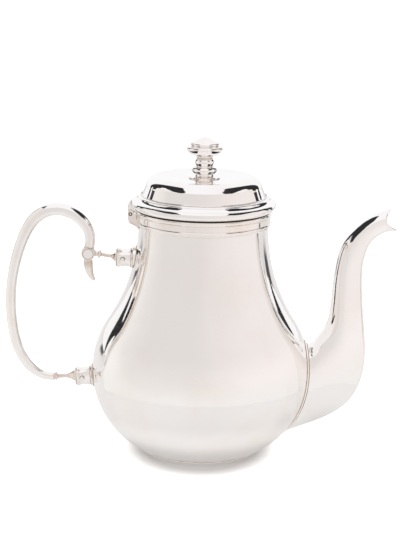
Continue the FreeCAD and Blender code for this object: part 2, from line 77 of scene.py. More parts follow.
class Slot(Enum):
    """The record's material slots."""

    SILVER = "polished_silver"
    INNER = "inner_silver"
    PIN = "pin_silver"
    IVORY = "insulator_ivory"


# ---------------- helpers


class Tree:
    """A thin wrapper that adds and links nodes in one node tree."""

    def __init__(self, nodes: NodeTree) -> None:
        """Take the tree to write into.

        Args:
            nodes: The node tree of a material, a world or a group.
        """
        self.nodes = nodes

    def feed(self, socket: NodeSocket, value: object) -> None:
        """Link a socket to another, or set its own value.

        Args:
            socket: The input to fill.
            value: Another node's output, or a plain value.
        """
        if isinstance(value, NodeSocket):
            self.nodes.links.new(value, socket)
        else:
            socket.default_value = value

    def fill(self, node: Node, values: dict) -> None:
        """Feed several inputs of a node.

        Args:
            node: The node.
            values: Input names or numbers with what feeds them.
        """
        for name, value in values.items():
            self.feed(node.inputs[name], value)

    def add(self, kind: str, inputs: dict | None = None, **settings: object) -> Node:
        """Add a node.

        Args:
            kind: The node's Blender type without the ShaderNode prefix.
            inputs: Input names or numbers with what feeds them.
            settings: Properties set on the node itself.

        Returns:
            The new node.
        """
        node = self.nodes.nodes.new(f"ShaderNode{kind}")
        for name, value in settings.items():
            setattr(node, name, value)
        self.fill(node, inputs or {})
        return node

    def math(self, operation: str, *values: object, clamp: bool = False) -> NodeSocket:
        """Add a math node.

        Args:
            operation: The operation's Blender name.
            values: Its one to three inputs.
            clamp: Whether the result is held between 0 and 1.

        Returns:
            The node's output.
        """
        return self.add("Math", dict(enumerate(values)), operation=operation, use_clamp=clamp).outputs[0]

    def ramp(self, value: object, low: float, high: float, start: float = 0.0,
             end: float = 1.0) -> NodeSocket:
        """Map a value from low..high onto start..end with soft ends.

        Args:
            value: What is mapped.
            low: The value that gives start.
            high: The value that gives end.
            start: The result at low.
            end: The result at high.

        Returns:
            The mapped value.
        """
        node = self.add("MapRange", {"Value": value, "From Min": low, "From Max": high,
                                     "To Min": start, "To Max": end}, interpolation_type="SMOOTHSTEP")
        return node.outputs["Result"]

    def band(self, value: object, low: float, high: float, soft: float) -> NodeSocket:
        """Give 1 between two values and 0 outside them.

        Args:
            value: What is looked at.
            low: Where the band begins.
            high: Where the band ends.
            soft: How far into the band each end fades.

        Returns:
            The band's mask.
        """
        return self.math("MULTIPLY", self.ramp(value, low, low + soft), self.ramp(value, high, high - soft))

    def noise(self, place: NodeSocket, scale: object, detail: float = 2.0, rough: float = 0.5) -> NodeSocket:
        """Add a noise.

        Args:
            place: Where it is read.
            scale: Its scale.
            detail: How many finer layers it has.
            rough: How strong they are.

        Returns:
            The noise, from 0 to 1.
        """
        values = {"Vector": place, "Scale": scale, "Detail": detail, "Roughness": rough}
        return self.add("TexNoise", values).outputs["Fac"]

    def turn_round(self, way: Node, mirrored: bool = True) -> NodeSocket:
        """Give the degrees round the pot from the front.

        Args:
            way: The node that splits a direction into X, Y and Z.
            mirrored: Whether both sides count up from the front.

        Returns:
            The degrees.
        """
        across = self.math("ABSOLUTE", way.outputs["X"]) if mirrored else way.outputs["X"]
        ahead = self.math("MULTIPLY", way.outputs["Y"], -1.0)
        return self.math("MULTIPLY", self.math("ARCTAN2", across, ahead), DEGREES)

    def mix(self, factor: object, first: object, second: object) -> NodeSocket:
        """Mix two colours.

        Args:
            factor: 0 gives the first and 1 the second.
            first: A colour.
            second: A colour.

        Returns:
            The mixed colour.
        """
        node = self.add("Mix", data_type="RGBA")
        for name, value in (("Factor_Float", factor), ("A_Color", first), ("B_Color", second)):
            self.feed(next(s for s in node.inputs if s.identifier == name), value)
        return next(s for s in node.outputs if s.identifier == "Result_Color")

    def layers(self, colour: object, masks: dict[str, NodeSocket]) -> NodeSocket:
        """Lay colours of the tent over one another.

        Args:
            colour: The lowest colour.
            masks: Names from TENT with where each lies, in rising order.

        Returns:
            The mixed colour.
        """
        for name, mask in masks.items():
            colour = self.mix(mask, colour, TENT[name])
        return colour


def new_material(name: str) -> tuple[Material, Tree, Node]:
    """Start a material.

    Args:
        name: The material's name.

    Returns:
        The material, its tree and its main shader.
    """
    made = bpy.data.materials.new(name)
    made.use_nodes = True
    return made, Tree(made.node_tree), made.node_tree.nodes["Principled BSDF"]


def new_object(name: str, data: ID) -> Object:
    """Put a mesh, a lamp or a camera into the scene.

    Args:
        name: The object's name.
        data: What it shows.

    Returns:
        The object.
    """
    thing = bpy.data.objects.new(name, data)
    bpy.context.scene.collection.objects.link(thing)
    return thing


def mesh_object(name: str, form: BMesh) -> Object:
    """Turn a form into an object in the scene.

    Args:
        name: The name of the object and its mesh.
        form: The form, which is used up.

    Returns:
        The object.
    """
    mesh = bpy.data.meshes.new(name)
    form.to_mesh(mesh)
    form.free()
    return new_object(name, mesh)


def new_group(name: str, inputs: dict[str, tuple[str, object]],
              outputs: dict[str, str]) -> tuple[NodeTree, Node, Node]:
    """Start a shader node group with named sockets.

    Args:
        name: The group's name.
        inputs: Socket names with their type (Float or Color) and default.
        outputs: Socket names with their type.

    Returns:
        The group, its input node and its output node.
    """
    group = bpy.data.node_groups.new(name, "ShaderNodeTree")
    for label, (kind, default) in inputs.items():
        socket = group.interface.new_socket(label, in_out="INPUT", socket_type=f"NodeSocket{kind}")
        socket.default_value = default
    for label, kind in outputs.items():
        group.interface.new_socket(label, in_out="OUTPUT", socket_type=f"NodeSocket{kind}")
    return group, group.nodes.new("NodeGroupInput"), group.nodes.new("NodeGroupOutput")


HAIRLINE_WAYS = ((0.5, (1.0, 0.06, 1.0)), (-1.1, (0.05, 1.0, 0.3)), (2.2, (0.4, 1.0, 0.05)))
HAIRLINE_TILT = (1.0, 0.7, 1.3)
HAIRLINE_DEPTH = -0.004
HAZE_SCALE = 45.0


def hand_polish_group() -> NodeTree:
    """Build the marks of hand polishing: slow ripples, crossing hairlines and a hazy bloom.

    Returns:
        A group with Height, Haze and Hairline outputs.
    """
    group, source, result = new_group(
        "hand_polish",
        {"Ripple Scale": ("Float", 20.0), "Hairline Scale": ("Float", 900.0), "Ripple Share": ("Float", 0.9)},
        {"Height": "Float", "Haze": "Float", "Hairline": "Float"})
    tree = Tree(group)
    place = tree.add("TexCoord").outputs["Object"]
    ripple = tree.noise(place, source.outputs["Ripple Scale"], 1.0, 0.4)
    lines = None
    for turn, squeeze in HAIRLINE_WAYS:
        stretched = tree.add("Mapping", {"Vector": place, "Rotation": [turn * tilt for tilt in HAIRLINE_TILT],
                                         "Scale": squeeze}).outputs[0]
        thin = tree.ramp(tree.noise(stretched, source.outputs["Hairline Scale"], 2.0, 0.6), 0.60, 0.72)
        lines = thin if lines is None else tree.math("MAXIMUM", lines, thin)
    haze = tree.ramp(tree.noise(place, HAZE_SCALE, 4.0, 0.6), 0.4, 0.7)
    height = tree.math("ADD", tree.math("MULTIPLY", ripple, source.outputs["Ripple Share"]),
                       tree.math("MULTIPLY", lines, HAIRLINE_DEPTH))
    tree.fill(result, {"Height": height, "Haze": haze, "Hairline": lines})
    return group


def tarnish_group() -> NodeTree:
    """Build the faint warm bloom that silver keeps where the cloth does not reach.

    Returns:
        A group with a Colour and a Mask output.
    """
    group, source, result = new_group(
        "warm_tarnish",
        {"Clean": ("Color", (0.93, 0.92, 0.9, 1.0)), "Warm": ("Color", (0.8, 0.7, 0.6, 1.0)),
         "Cover": ("Float", 0.3), "Patch Scale": ("Float", 30.0)},
        {"Colour": "Color", "Mask": "Float"})
    tree = Tree(group)
    place = tree.add("TexCoord").outputs["Object"]
    patch = tree.ramp(tree.noise(place, source.outputs["Patch Scale"], 5.0, 0.55), 0.42, 0.75)
    hollow = tree.ramp(tree.add("NewGeometry").outputs["Pointiness"], 0.5, 0.42)
    mask = tree.math("MULTIPLY", tree.math("MAXIMUM", patch, hollow, clamp=True), source.outputs["Cover"])
    colour = tree.mix(mask, source.outputs["Clean"], source.outputs["Warm"])
    tree.fill(result, {"Colour": colour, "Mask": mask})
    return group


GROUPS = {"polish": hand_polish_group(), "tarnish": tarnish_group()}


# ---------------- finishes


@dataclass(frozen=True)
class Silver:
    """Polished silver with its own gloss, ripple, hairlines and warmth."""

    name: str
    slot: Slot = Slot.SILVER
    clean: Colour = (0.955, 0.94, 0.925, 1.0)
    warm: Colour = (0.86, 0.77, 0.68, 1.0)
    cover: float = 0.25
    patch_scale: float = 28.0
    gloss: float = 0.035
    haze: float = 0.03
    ripple_scale: float = 14.0
    ripple_share: float = 0.5
    hairline_scale: float = 700.0
    bump: float = 0.05
    hairline_gloss: float = 2.0
    tarnish_gloss: float = 0.1

    def material(self) -> Material:
        """Build the finish.

        Returns:
            The material, made anew.
        """
        made, tree, shader = new_material(self.name)
        polish = tree.add("Group", node_tree=GROUPS["polish"])
        tree.fill(polish, {"Ripple Scale": self.ripple_scale, "Hairline Scale": self.hairline_scale,
                           "Ripple Share": self.ripple_share})
        tarnish = tree.add("Group", node_tree=GROUPS["tarnish"])
        tree.fill(tarnish, {"Clean": self.clean, "Warm": self.warm, "Cover": self.cover,
                            "Patch Scale": self.patch_scale})
        rough = tree.math("MULTIPLY_ADD", polish.outputs["Haze"], self.haze, self.gloss)
        rough = tree.math("MULTIPLY_ADD", polish.outputs["Hairline"], self.haze * self.hairline_gloss, rough)
        rough = tree.math("MULTIPLY_ADD", tarnish.outputs["Mask"], self.tarnish_gloss, rough)
        bump = tree.add("Bump", {"Height": polish.outputs["Height"], "Strength": self.bump, "Distance": MM})
        tree.fill(shader, {"Base Color": tarnish.outputs["Colour"], "Metallic": 1.0, "Roughness": rough,
                           "Normal": bump.outputs[0]})
        return made


@dataclass(frozen=True)
class Ivory:
    """A pale, close-grained heat break, softly polished."""

    name: str = "ivory_heat_break"
    slot: Slot = Slot.IVORY
    light: Colour = (0.86, 0.82, 0.74, 1.0)
    dark: Colour = (0.72, 0.62, 0.48, 1.0)
    grain_scale: float = 420.0
    grain_share: float = 0.5
    grain_depth: float = 0.05 * MM
    gloss: float = 0.28
    haze: float = 0.15
    bump: float = 0.1
    coat: float = 0.2

    def material(self) -> Material:
        """Build the finish.

        Returns:
            The material, made anew.
        """
        made, tree, shader = new_material(self.name)
        place = tree.add("TexCoord").outputs["Object"]
        grain = tree.add("TexWave", {"Vector": place, "Scale": self.grain_scale, "Distortion": 3.0,
                                     "Detail": 3.0}, bands_direction="Z").outputs["Fac"]
        polish = tree.add("Group", node_tree=GROUPS["polish"])
        colour = tree.mix(tree.ramp(grain, 0.2, 1.0, 0.0, self.grain_share), self.light, self.dark)
        rough = tree.math("MULTIPLY_ADD", polish.outputs["Haze"], self.haze, self.gloss)
        bump = tree.add("Bump", {"Height": grain, "Strength": self.bump, "Distance": self.grain_depth})
        tree.fill(shader, {"Base Color": colour, "Roughness": rough, "Normal": bump.outputs[0],
                           "Coat Weight": self.coat})
        return made


FINISHES: dict[str, Silver | Ivory] = {
    "body": Silver("body_silver"),
    "band": Silver("band_silver", clean=(0.95, 0.915, 0.885, 1.0), cover=0.45, patch_scale=70.0,
                   ripple_scale=40.0, ripple_share=0.2),
    "hinge": Silver("hinge_silver", clean=(0.88, 0.82, 0.775, 1.0), warm=(0.6, 0.47, 0.37, 1.0),
                    cover=0.7, gloss=0.1, patch_scale=160.0, ripple_share=0.2),
    "turned": Silver("turned_silver", clean=(0.955, 0.93, 0.91, 1.0), cover=0.35,
                     ripple_scale=60.0, ripple_share=0.2, patch_scale=90.0),
    "drawn": Silver("drawn_silver", cover=0.35, ripple_scale=30.0, ripple_share=0.3,
                    patch_scale=60.0),
    "inner": Silver("inner_silver", Slot.INNER, clean=(0.84, 0.82, 0.79, 1.0), gloss=0.24, haze=0.1,
                    cover=0.5),
    "pin": Silver("pin_silver", Slot.PIN, clean=(0.88, 0.86, 0.83, 1.0), gloss=0.12, haze=0.08, cover=0.6,
                  ripple_share=0.1, patch_scale=200.0),
    "seam": Silver("seam_silver", clean=(0.50, 0.40, 0.31, 1.0), warm=(0.28, 0.20, 0.14, 1.0),
                   cover=0.8, gloss=0.3, haze=0.15, patch_scale=260.0, ripple_share=0.1),
    # Near-black silver for the dark joints at the pins and heat breaks, and for the ring of painted shade
    # under the lid's roll.
    "dark": Silver("dark_joint_and_shade_silver", Slot.PIN, clean=(0.055, 0.045, 0.038, 1.0), warm=(0.025, 0.02, 0.016, 1.0),
                   cover=0.9, gloss=0.38, haze=0.15, patch_scale=260.0, ripple_share=0.1),
    "ivory": Ivory(),
}


@cache
def finish(name: str) -> Material:
    """Return a finish's material, built the first time it is asked for.

    Args:
        name: A key of FINISHES.

    Returns:
        The material.
    """
    return FINISHES[name].material()


# ---------------- studio


def level_at(points: Corners, turn: float) -> float:
    """Read a level off a short list of corners.

    Args:
        points: Pairs of degrees round and level, in rising order.
        turn: Degrees round from the front.

    Returns:
        The level there.
    """
    for (start, low), (end, high) in zip(points, points[1:]):
        if turn <= end:
            return low + (high - low) * (turn - start) / (end - start)
    return points[-1][1]


@dataclass(frozen=True)
class FloorCard:
    """The pale floor, with painted light: a glow to the eye that leaves a painted contact shadow round the
    foot, and a glow and painted shade that only the silver's reflections see.
    """

    pale: tuple[Colour, Colour] = ((0.93, 0.925, 0.915, 1.0), (0.95, 0.945, 0.935, 1.0))
    glow: Colour = (1.0, 0.99, 0.98, 1.0)
    gloss: float = 0.6
    grain_scale: float = 300.0
    half_side: float = 6.0
    squares: int = 8
    drop: float = 0.02 * MM
    shadow_stretch: tuple[float, float, float] = (1.0, 0.74, 1.0)
    shadow_glow: tuple[float, ...] = (36.0 * MM, 53.0 * MM, 0.0, 0.62)
    near_glow: tuple[float, ...] = (44.0 * MM, 60.0 * MM, 0.27, 0.43)
    far_loss: tuple[float, ...] = (60.0 * MM, 90.0 * MM, 0.0, 0.155)
    gap_turn: tuple[float, float, float] = (128.0, 141.0, 2.0)
    gap_reach: tuple[float, float] = (0.7, 1.3)
    gap_shade: float = 0.6
    gloss_shade: float = 0.35

    def material(self) -> Material:
        """Build the floor's finish, with its painted light: a glow to the eye that grows away from the pot
        and shapes a painted contact shadow, and a glow and painted shade seen only in reflections.

        Returns:
            The material.
        """
        made, tree, shader = new_material("floor_card")
        place = tree.add("TexCoord").outputs["Object"]
        path = tree.add("LightPath").outputs
        grain = tree.noise(place, self.grain_scale)
        reach = tree.add("VectorMath", {0: place}, operation="LENGTH").outputs["Value"]
        drawn_in = tree.add("VectorMath", {0: place, 1: self.shadow_stretch}, operation="MULTIPLY").outputs[0]
        near = tree.add("VectorMath", {0: drawn_in}, operation="LENGTH").outputs["Value"]
        turn = tree.turn_round(tree.add("SeparateXYZ", {0: place}))
        gap = tree.math("MULTIPLY", tree.band(turn, *self.gap_turn), tree.ramp(reach, *self.gap_reach))
        # Painted shade seen only in reflections: the floor's colour darkens to glossy rays, most of all
        # towards the tent's dark gap.
        shaded = tree.math("MULTIPLY", path["Is Glossy Ray"],
                           tree.math("MULTIPLY_ADD", gap, self.gap_shade, self.gloss_shade))
        # Painted light seen only in reflections: the floor glows to glossy rays, most just round the foot,
        # and not in the tent's gap.
        under = tree.math("SUBTRACT", tree.ramp(reach, *self.near_glow), tree.ramp(reach, *self.far_loss))
        glossy_glow = tree.math("MULTIPLY", under, tree.math("SUBTRACT", 1.0, gap))
        # Painted shadow: the glow to the eye is nil near the foot and grows outwards in an ellipse, so the
        # contact shadow takes its shape.
        clear = tree.ramp(near, *self.shadow_glow)
        glow = tree.math("ADD", tree.math("MULTIPLY", path["Is Camera Ray"], clear),
                         tree.math("MULTIPLY", path["Is Glossy Ray"], glossy_glow))
        tree.fill(shader, {"Base Color": tree.mix(shaded, tree.mix(grain, *self.pale), BLACK),
                           "Roughness": self.gloss, "Emission Color": tree.mix(glow, BLACK, self.glow),
                           "Emission Strength": 1.0})
        return made

    def build(self) -> None:
        """Lay the floor under the pot."""
        form = bmesh.new()
        bmesh.ops.create_grid(form, x_segments=self.squares, y_segments=self.squares, size=self.half_side)
        floor = mesh_object("floor", form)
        floor.location.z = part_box("foot_ring")[0].z - self.drop
        floor.data.materials.append(self.material())


@dataclass(frozen=True)
class FrontCard:
    """The pale card that the silver looks into: bent round the front, and seen by gloss alone.

    Its ends and the corners of its top are in degrees round from the front; heights are in metres.
    """

    radius: float = 160.0 * MM
    foot: float = 4.0 * MM
    ends: tuple[float, float] = (-101.0, 103.0)
    top: Corners = ((-101.0, 0.2325), (-96.5, 0.238), (-83.6, 0.2405), (-75.0, 0.239), (-66.5, 0.234),
                    (-58.0, 0.232), (-49.4, 0.2315), (-44.0, 0.235), (-42.0, 0.251), (0.0, 0.252),
                    (42.0, 0.251), (44.0, 0.235), (55.0, 0.2305), (63.5, 0.231), (72.0, 0.234),
                    (83.0, 0.237), (98.0, 0.238), (103.0, 0.232))
    rows: int = 6
    columns: int = 120
    waver: float = 1.6 * MM
    waves: tuple[float, float] = (0.41, 0.13)
    cloud_scale: float = 9.0
    cloud_turn: float = 40.0
    cloud_rise: float = 30.0 * MM
    left_fade: tuple[float, float] = (-62.0, -92.0)
    right_fade: tuple[float, float] = (-15.0, 62.0)
    shade_rise: tuple[float, float] = (75.0 * MM, 155.0 * MM)
    shade_share: float = 0.12
    foot_fade: float = 80.0 * MM
    seam_band: tuple[float, float] = (0.8, 4.5)
    seam_foot: tuple[float, float] = (50.0 * MM, 75.0 * MM)
    seam_top: tuple[float, float] = (152.0 * MM, 148.0 * MM)

    def form(self) -> BMesh:
        """Bend the card, with its slightly wavy top.

        Returns:
            The card's form.
        """
        form = bmesh.new()
        first, last = self.ends
        columns = []
        for step in range(self.columns + 1):
            turn = first + (last - first) * step / self.columns
            angle = math.radians(turn)
            wave = self.waver * math.sin(turn * self.waves[0]) * math.sin(turn * self.waves[1])
            tall = level_at(self.top, turn) + wave - self.foot
            across, ahead = self.radius * math.sin(angle), -self.radius * math.cos(angle)
            columns.append([form.verts.new((across, ahead, self.foot + tall * row / self.rows))
                            for row in range(self.rows + 1)])
        for left, right in zip(columns, columns[1:]):
            for row in range(self.rows):
                form.faces.new((left[row], right[row], right[row + 1], left[row + 1]))
        return form

    def material(self) -> Material:
        """Build the card's glow: warmer and darker in front, paler to the sides and low down.

        Returns:
            The material.
        """
        made, tree, _ = new_material("front_card")
        place = tree.add("TexCoord").outputs["Object"]
        way = tree.add("SeparateXYZ", {0: place})
        turn, height = tree.turn_round(way, mirrored=False), way.outputs["Z"]
        cloud = tree.noise(place, self.cloud_scale)
        drift = tree.math("MULTIPLY_ADD", cloud, self.cloud_turn, -self.cloud_turn / 2)
        clouded = tree.math("ADD", turn, drift)
        rise = tree.ramp(tree.math("MULTIPLY_ADD", cloud, self.cloud_rise, height), *self.shade_rise)
        outer, inner = self.seam_band
        seams = tree.math("MAXIMUM", tree.band(turn, self.ends[0] + outer, self.ends[0] + inner, 1.0),
                          tree.band(turn, self.ends[1] - inner, self.ends[1] - outer, 1.0))
        for limits in (self.seam_top, self.seam_foot):
            seams = tree.math("MULTIPLY", seams, tree.ramp(height, *limits))
        colour = tree.layers(TENT["front"], {
            "left": tree.ramp(clouded, *self.left_fade), "flank": tree.ramp(clouded, *self.right_fade),
            "shade": tree.math("MULTIPLY", rise, self.shade_share),
            "floor": tree.ramp(height, self.foot_fade, self.foot), "seam": seams})
        glow = tree.add("Emission", {"Color": colour})
        tree.fill(made.node_tree.nodes["Material Output"], {"Surface": glow.outputs[0]})
        return made

    def build(self) -> None:
        """Stand the card in front of the pot."""
        card = mesh_object("front_card", self.form())
        card.visible_camera = card.visible_diffuse = card.visible_shadow = False
        card.data.materials.append(self.material())


@dataclass(frozen=True)
class TentSide:
    """One side of the tent, in degrees: a dark gap between the wall and the roof, and a panel behind it."""

    wall_top: Corners
    back_edge: float
    back_lean: float
    front_edge: float = 43.0
    panel_edge: float = 119.0
    roof_edge: float = 66.0
    roof_bend: float = 0.0104


@dataclass(frozen=True)
class LightTent:
    """The pale tent that lights the scene, whose roof and walls leave dark gaps; all in degrees."""

    left: TentSide = TentSide(
        wall_top=((0, 30), (50, 29), (58, 28), (68, 29), (82, 35), (100, 36),
                  (106, 34), (110, 10), (122, 8), (123.5, 15), (126, 13), (128, -2),
                  (180, -12)),
        back_edge=137.0, back_lean=0.06)
    right: TentSide = TentSide(
        wall_top=((0, 30), (50, 29), (60, 27), (72, 31), (83, 35), (95, 36),
                  (106, 34), (110, 10), (124, 6), (126, 9), (130, 8), (133, -6),
                  (180, -12)),
        back_edge=141.5, back_lean=0.0)
    ripple_scale: float = 3.2
    waver: float = 16.0
    waver_share: tuple[float, ...] = (16.0, 28.0, 0.12, 0.5)
    wall_soft: float = 0.7
    margin_soft: float = 1.0
    front_soft: float = 2.0
    panel_soft: float = 0.5
    corner_round: float = 32.0
    seam_width: float = 4.5
    seam_top: tuple[float, float] = (9.0, 5.0)
    flank_fade: tuple[float, float] = (20.0, 100.0)
    roof_start: tuple[float, float] = (36.0, 24.0)
    roof_full: tuple[float, float] = (50.0, 62.0)

    def masks(self, tree: Tree, side: TentSide, turn: NodeSocket, rise: NodeSocket,
              waver: NodeSocket) -> tuple[NodeSocket, NodeSocket, NodeSocket]:
        """Build one side's masks.

        Args:
            tree: The world's tree.
            side: The side.
            turn: Degrees round from the front.
            rise: Degrees of height.
            waver: How far the tent's edges wander, in degrees.

        Returns:
            The masks of the dark gap, of the white panel and of the seam along the panel's edge.
        """
        top = self.profile(tree, turn, side.wall_top)
        wandering = tree.math("MULTIPLY_ADD", waver, tree.ramp(rise, *self.waver_share), rise)
        dark = tree.ramp(tree.math("SUBTRACT", wandering, top), -self.wall_soft, self.wall_soft)
        away = tree.math("SUBTRACT", turn, QUARTER_TURN)
        roof = tree.math("MULTIPLY_ADD", tree.math("MULTIPLY", away, away), -side.roof_bend, side.roof_edge)
        back = tree.math("MULTIPLY_ADD", tree.math("MAXIMUM", rise, 0.0), -side.back_lean, side.back_edge)
        margin = tree.math("SMOOTH_MIN", tree.math("SUBTRACT", roof, rise), tree.math("SUBTRACT", back, turn),
                           self.corner_round)
        dark = tree.math("MULTIPLY", dark, tree.ramp(margin, -self.margin_soft, self.margin_soft))
        dark = tree.math("MULTIPLY", dark, tree.ramp(turn, side.front_edge - self.front_soft,
                                                     side.front_edge + self.front_soft))
        panel_start = side.panel_edge - self.panel_soft
        panel = tree.ramp(turn, panel_start, side.panel_edge + self.panel_soft)
        seam = tree.band(turn, panel_start, side.panel_edge + self.seam_width, 2 * self.panel_soft)
        return dark, panel, seam

    @staticmethod
    def profile(tree: Tree, turn: NodeSocket, points: Corners) -> NodeSocket:
        """Give the wall's top in degrees of height for each direction round the tent.

        Args:
            tree: The world's tree.
            turn: Degrees round from the front.
            points: Pairs of degrees round and degrees of height.

        Returns:
            The height of the wall's top, in degrees.
        """
        ramp = tree.add("ValToRGB", {"Fac": tree.math("DIVIDE", turn, HALF_TURN)})
        stops = ramp.color_ramp.elements
        for index, (degrees, height) in enumerate(points):
            level = (height + QUARTER_TURN) / HALF_TURN
            stop = stops[0] if index == 0 else stops.new(degrees / HALF_TURN)
            stop.color = (level, level, level, 1.0)
        stops.remove(stops[len(stops) - 1])
        return tree.math("MULTIPLY_ADD", ramp.outputs["Color"], HALF_TURN, -QUARTER_TURN)

    def build(self) -> None:
        """Hang the tent round the scene; the eye itself sees a white backdrop."""
        world = bpy.data.worlds.new("light_tent")
        bpy.context.scene.world = world
        world.use_nodes = True
        tree = Tree(world.node_tree)
        place = tree.add("TexCoord").outputs["Generated"]
        way = tree.add("SeparateXYZ", {0: place})
        turn = tree.turn_round(way)
        rise = tree.math("MULTIPLY", tree.math("ARCSINE", way.outputs["Z"]), DEGREES)
        ripple = tree.noise(place, self.ripple_scale, 3.0)
        waver = tree.math("MULTIPLY_ADD", ripple, self.waver, -self.waver / 2)
        on_right = tree.math("GREATER_THAN", way.outputs["X"], 0.0)
        sides = [self.masks(tree, side, turn, rise, waver) for side in (self.left, self.right)]
        dark, panel, seam = (tree.math("MULTIPLY_ADD", tree.math("SUBTRACT", right, left), on_right, left)
                             for left, right in zip(*sides))
        colour = tree.mix(tree.ramp(turn, *self.flank_fade), TENT["front"], TENT["flank"])
        colour = tree.mix(tree.ramp(tree.math("ADD", rise, waver), *self.roof_start), TENT["roof"], colour)
        colour = tree.layers(colour, {
            "white": panel, "seam": tree.math("MULTIPLY", seam, tree.ramp(rise, *self.seam_top)),
            "roof": tree.ramp(rise, *self.roof_full), "gap": dark,
            "backdrop": tree.add("LightPath").outputs["Is Camera Ray"]})
        tree.fill(world.node_tree.nodes["Background"], {"Color": colour})


@dataclass(frozen=True)
class Studio:
    """The camera, the lamp, and the cards and tent round the pot."""

    aim: tuple[float, float, float] = (-0.0017, 0.0, 0.122)
    distance: float = 1.3
    elevation: float = 12.9
    roll: float = 1.03
    lens: float = 135.08443
    sensor: float = 36.0
    lamp_power: float = 6.5
    lamp_size: tuple[float, float] = (0.9, 1.3)
    lamp_place: tuple[float, float, float] = (0.0, -0.1, 1.5)
    lamp_colour: tuple[float, float, float] = (1.0, 0.975, 0.95)

    def camera(self) -> None:
        """Place the camera a little above the pot."""
        lens = bpy.data.cameras.new("camera")
        lens.lens, lens.sensor_width = self.lens, self.sensor
        eye = new_object("camera", lens)
        tilt = math.radians(self.elevation)
        back = Vector((0.0, -math.cos(tilt), math.sin(tilt)))
        turn = (-back).to_track_quat("-Z", "Y").to_matrix().to_4x4()
        eye.matrix_world = (Matrix.Translation(Vector(self.aim) + back * self.distance) @ turn
                            @ Matrix.Rotation(math.radians(self.roll), 4, "Z"))
        bpy.context.scene.camera = eye

    def soft_box(self) -> None:
        """Hang one wide soft light above the pot."""
        lamp = bpy.data.lights.new("soft_box", "AREA")
        lamp.shape, (lamp.size, lamp.size_y) = "RECTANGLE", self.lamp_size
        lamp.energy = self.lamp_power
        lamp.color = self.lamp_colour
        box = new_object("soft_box", lamp)
        box.location = self.lamp_place
        box.visible_glossy = False

    def build(self) -> None:
        """Build the camera, the floor and the light."""
        self.camera()
        FloorCard().build()
        FrontCard().build()
        self.soft_box()
        LightTent().build()
        bpy.context.scene.view_settings.view_transform = "Standard"


# ---------------- seams and small worked pieces


@dataclass(frozen=True)
class Seam:
    """The line of solder or old polish between two parts; measures in millimetres and degrees."""

    name: str
    node: str
    against: str
    radius: float = 0.28
    finish: str = "seam"
    corner: float = 28.0
    shortest: float = 5.0
    reach: float = 0.12


class Surface:
    """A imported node's skin, welded, for finding its corners and what lies near it."""

    WELD = 0.002 * MM
    CLEAR_OF_CORNER = 0.05 * MM
    OPEN = 2.0 * MM
    STEP = 0.9 * MM
    LIFT_SHARE = 0.25

    def __init__(self, node: str) -> None:
        """Weld the node's skin.

        Args:
            node: The node's name.
        """
        self.form = bmesh.new()
        self.form.from_mesh(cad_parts[node].data)
        bmesh.ops.remove_doubles(self.form, verts=self.form.verts, dist=self.WELD)
        self.form.normal_update()
        self.tree = BVHTree.FromBMesh(self.form)

    @classmethod
    @cache
    def of(cls, node: str) -> "Surface":
        """Return a node's skin, welded the first time it is asked for.

        Args:
            node: The node's name.

        Returns:
            The skin.
        """
        return cls(node)

    def corners(self, seam: Seam) -> list[tuple[BMEdge, Vector]]:
        """Find the corner edges that lie on the other part and can be seen.

        Args:
            seam: The two parts, and how sharp and how near an edge has to be.

        Returns:
            The edges, each with the way out of the corner.
        """
        other = Surface.of(seam.against)
        found = []
        for edge in self.form.edges:
            if len(edge.link_faces) != 2 or edge.calc_face_angle(0.0) < math.radians(seam.corner):
                continue
            middle = (edge.verts[0].co + edge.verts[1].co) / 2
            near, normal, _, distance = other.tree.find_nearest(middle, seam.reach * MM)
            if near is None:
                continue
            free = max((face.normal for face in edge.link_faces), key=normal.dot)
            out = (free + normal).normalized()
            start = middle + out * self.CLEAR_OF_CORNER
            if any(self.open_to_view(start, way) for way in (out, normal, free)):
                found.append((edge, out))
        return found

    @staticmethod
    def open_to_view(start: Vector, way: Vector) -> bool:
        """Say whether a place looks out into the open.

        Args:
            start: The place.
            way: The direction that is tried.

        Returns:
            True where nothing lies within two millimetres.
        """
        return all(Surface.of(node).tree.ray_cast(start, way, Surface.OPEN)[0] is None
                   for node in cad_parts)

    @staticmethod
    def runs(chosen: list[tuple[BMEdge, Vector]], lift: float, shortest: float) -> list[Run]:
        """Chain corner edges into runs.

        Args:
            chosen: The edges, each with the way out of its corner.
            lift: How far the run stands out of the corner.
            shortest: The length below which a run is dropped.

        Returns:
            Each run's points, with whether it closes on itself.
        """
        ways: dict[BMVert, list[Vector]] = {}
        links: dict[BMVert, list[BMVert]] = {}
        for edge, out in chosen:
            for vert in edge.verts:
                ways.setdefault(vert, []).append(out)
                links.setdefault(vert, []).append(edge.other_vert(vert))
        runs, used = [], set()
        for start in sorted(links, key=lambda vert: (len(links[vert]) == 2, vert.index)):
            if start in used:
                continue
            chain = [start]
            used.add(start)
            while step := next((vert for vert in links[chain[-1]] if vert not in used), None):
                chain.append(step)
                used.add(step)
            closed = len(chain) > 3 and start in links[chain[-1]]
            points = [vert.co + sum(ways[vert], Vector()).normalized() * lift for vert in chain]
            if sum((b - a).length for a, b in zip(points, points[1:])) > shortest:
                runs.append((even_steps(points, closed, Surface.STEP), closed))
        return runs

    @staticmethod
    def seam_runs(seam: Seam) -> list[Run]:
        """Find a seam's runs on the first part, or on the second where the first has no corner there.

        Args:
            seam: The two parts.

        Returns:
            Each run's points, with whether it closes on itself.
        """
        for one, other in ((seam.node, seam.against), (seam.against, seam.node)):
            edges = Surface.of(one).corners(replace(seam, node=one, against=other))
            runs = Surface.runs(edges, Surface.LIFT_SHARE * seam.radius * MM, seam.shortest * MM)
            if runs:
                return runs
        return []


